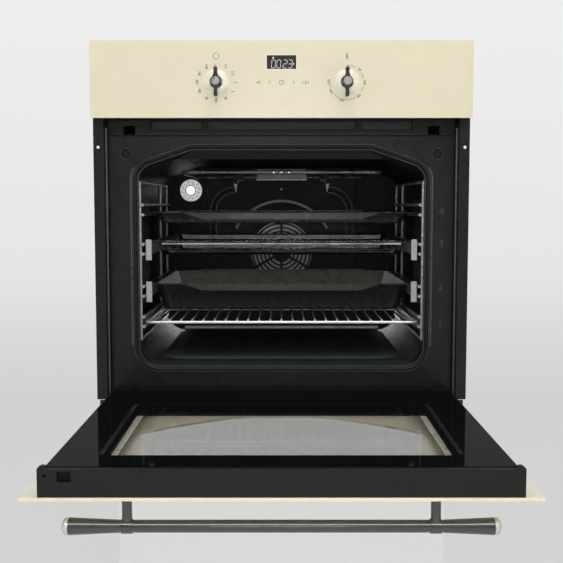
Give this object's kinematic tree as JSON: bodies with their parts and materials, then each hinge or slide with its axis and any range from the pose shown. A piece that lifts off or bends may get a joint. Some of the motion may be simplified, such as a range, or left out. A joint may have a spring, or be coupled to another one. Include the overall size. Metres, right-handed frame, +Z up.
{
  "type": "built-in oven",
  "caption": "Built-in oven with a drop-down glazed door, control panel, side racks, sliding trays and a wire shelf.",
  "frame": {"origin": "centre of the base face on which the oven stands in its cabinet", "axes": "+X to the right seen from the front, +Y from the front into the oven, +Z up"},
  "size_m": [0.595, 1.0184, 0.6372],
  "materials": {
    "ivory_glass": "gloss ivory print behind clear glass",
    "clear_glass": "clear toughened glass",
    "black_glass": "gloss black glass",
    "black_enamel": "satin black enamel",
    "cavity_enamel": "gloss dark enamel with fine speckle",
    "black_plastic": "satin",
    "seal": "matte dark grey",
    "chrome_wire": "bright chrome",
    "zinc_steel": "bright zinc plating",
    "handle_metal": "anthracite satin",
    "cap_metal": "pale satin chrome",
    "ivory_plastic": "gloss",
    "heater_tube": "heat-darkened steel",
    "wool": "glass wool",
    "motor_steel": "grey",
    "white_plastic": "satin",
    "board": "green resin board"
  },
  "bodies": {
    "oven": {"panel_glass": "ivory_glass", "panel_carrier": "black_plastic", "display_window": "black_glass", "control_board": "board", "function_switch": "white_plastic", "temperature_switch": "white_plastic", "front_frame": "black_enamel", "vent_trim": "black_plastic", "frame_buffers": "black_plastic", "mouth_gasket": "seal", "cavity_liner": "cavity_enamel", "cavity_back": "cavity_enamel", "insulation": "wool", "fan_cover": "cavity_enamel", "fan_motor": "motor_steel", "ring_heater": "heater_tube", "grill_heater": "heater_tube", "bottom_heater": "heater_tube", "lamp_housing": "zinc_steel", "lamp_bulb": "clear_glass", "lamp_lens": "clear_glass", "side_racks": "chrome_wire", "lower_rails": "zinc_steel", "upper_rails": "zinc_steel", "casing_sides": "zinc_steel", "casing_top": "zinc_steel", "casing_back": "zinc_steel", "base_plate": "zinc_steel", "blower_housing": "zinc_steel", "blower_motor": "motor_steel", "terminal_box": "white_plastic", "hinge_receivers": "zinc_steel", "hinge_arms": "zinc_steel"},
    "door": {"door_outer_glass": "ivory_glass", "door_middle_glass": "clear_glass", "door_inner_glass": "black_glass", "door_frame": "black_plastic", "door_top_trim": "black_plastic", "hinge_cartridges": "zinc_steel", "hinge_pins": "chrome_wire", "handle_bar": "handle_metal", "handle_posts": "handle_metal", "handle_end_caps": "cap_metal", "handle_screws": "zinc_steel"},
    "function_knob": {"function_skirt": "ivory_plastic", "function_grip": "handle_metal", "function_shaft": "zinc_steel"},
    "temperature_knob": {"temperature_skirt": "ivory_plastic", "temperature_grip": "handle_metal", "temperature_shaft": "zinc_steel"},
    "hot_air_fan": {"fan_wheel": "zinc_steel"},
    "cooling_rotor": {"blower_rotor": "white_plastic"},
    "top_tray": {"shallow_tray": "black_enamel"},
    "shelf": {"wire_shelf": "chrome_wire"},
    "upper_carriage": {"upper_slides": "zinc_steel", "glass_tray": "clear_glass"},
    "upper_middle": {"upper_middles": "zinc_steel"},
    "lower_carriage": {"lower_slides": "zinc_steel", "deep_pan": "black_enamel"},
    "lower_middle": {"lower_middles": "zinc_steel"}
  },
  "joints": [
    {"name": "door_hinge", "type": "hinge", "parent": "oven", "child": "door", "pos_m": [0, -0.29415, 0.0205], "axis": [-1, 0, 0], "range_deg": [0, 90]},
    {"name": "function_turn", "type": "hinge", "parent": "oven", "child": "function_knob", "pos_m": [-0.1013, -0.30565, 0.5305], "axis": [0, 1, 0], "continuous": true},
    {"name": "temperature_turn", "type": "hinge", "parent": "oven", "child": "temperature_knob", "pos_m": [0.1013, -0.30565, 0.5305], "axis": [0, 1, 0], "range_deg": [0, 275]},
    {"name": "fan_spin", "type": "hinge", "parent": "oven", "child": "hot_air_fan", "pos_m": [0, 0.13435, 0.245], "axis": [0, 1, 0], "continuous": true},
    {"name": "rotor_spin", "type": "hinge", "parent": "oven", "child": "cooling_rotor", "pos_m": [0, -0.04685, 0.46], "axis": [0, 0, 1], "continuous": true},
    {"name": "top_tray_slide", "type": "slide", "parent": "oven", "child": "top_tray", "axis": [0, 1, 0], "range_m": [-0.23, 0]},
    {"name": "shelf_slide", "type": "slide", "parent": "oven", "child": "shelf", "axis": [0, 1, 0], "range_m": [-0.23, 0]},
    {"name": "upper_slide", "type": "slide", "parent": "oven", "child": "upper_carriage", "axis": [0, 1, 0], "range_m": [-0.32, 0]},
    {"name": "upper_middle_slide", "type": "slide", "parent": "oven", "child": "upper_middle", "axis": [0, 1, 0], "range_m": [-0.16, 0]},
    {"name": "lower_slide", "type": "slide", "parent": "oven", "child": "lower_carriage", "axis": [0, 1, 0], "range_m": [-0.32, 0]},
    {"name": "lower_middle_slide", "type": "slide", "parent": "oven", "child": "lower_middle", "axis": [0, 1, 0], "range_m": [-0.16, 0]}
  ],
  "couplings": [
    {"joint": "upper_middle_slide", "follows": "upper_slide", "ratio": 0.5},
    {"joint": "lower_middle_slide", "follows": "lower_slide", "ratio": 0.5}
  ]
}
